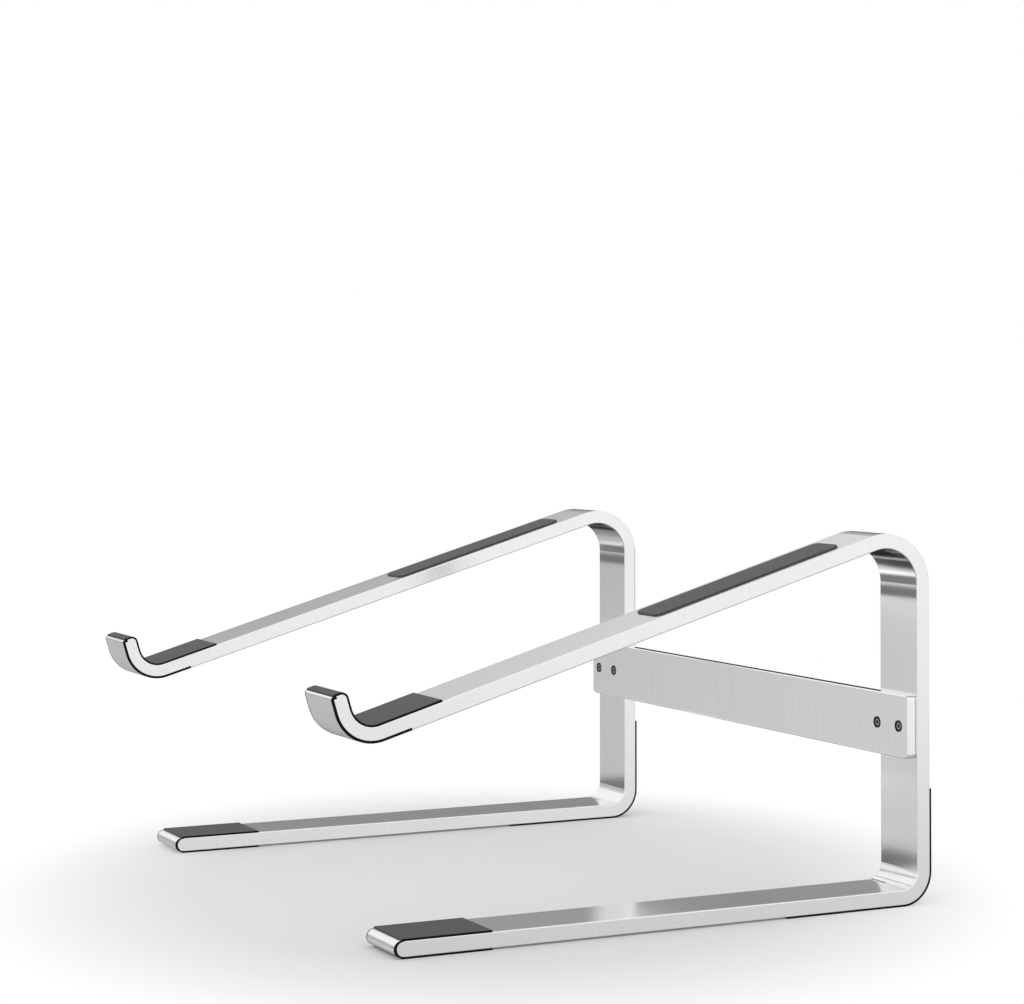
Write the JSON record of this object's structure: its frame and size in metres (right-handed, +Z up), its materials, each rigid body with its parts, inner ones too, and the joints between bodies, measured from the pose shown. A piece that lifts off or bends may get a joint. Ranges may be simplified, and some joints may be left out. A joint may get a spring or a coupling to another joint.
{
  "type": "laptop stand",
  "caption": "Aluminium laptop stand: two bent flat-bar brackets with J-hooks, joined by a screwed crossbar, on silicone pads.",
  "frame": {"origin": "on the desk, under the middle of the stand's bounding box", "axes": "+X to the user's right, +Y away from the user towards the risers, +Z up"},
  "size_m": [0.26, 0.2506, 0.1437],
  "materials": {
    "anodised_bar": "bead-blasted and clear anodised, satin",
    "anodised_crossbar": "brushed across and clear anodised, satin",
    "steel_screw": "turned steel, plain",
    "silicone_pad": "matt moulded silicone, dark grey",
    "adhesive_film": "clear double-sided film"
  },
  "bodies": {
    "root": {"bracket_left": "anodised_bar", "bracket_right": "anodised_bar", "crossbar": "anodised_crossbar", "screw_left_inner": "steel_screw", "screw_left_outer": "steel_screw", "hook_pad_left": "silicone_pad", "hook_pad_film_left": "adhesive_film", "front_foot_pad_left": "silicone_pad", "front_foot_pad_film_left": "adhesive_film", "heel_pad_left": "silicone_pad", "heel_pad_film_left": "adhesive_film", "arm_pad_left": "silicone_pad", "arm_pad_film_left": "adhesive_film", "screw_right_inner": "steel_screw", "screw_right_outer": "steel_screw", "hook_pad_right": "silicone_pad", "hook_pad_film_right": "adhesive_film", "front_foot_pad_right": "silicone_pad", "front_foot_pad_film_right": "adhesive_film", "heel_pad_right": "silicone_pad", "heel_pad_film_right": "adhesive_film", "arm_pad_right": "silicone_pad", "arm_pad_film_right": "adhesive_film"}
  },
  "joints": []
}
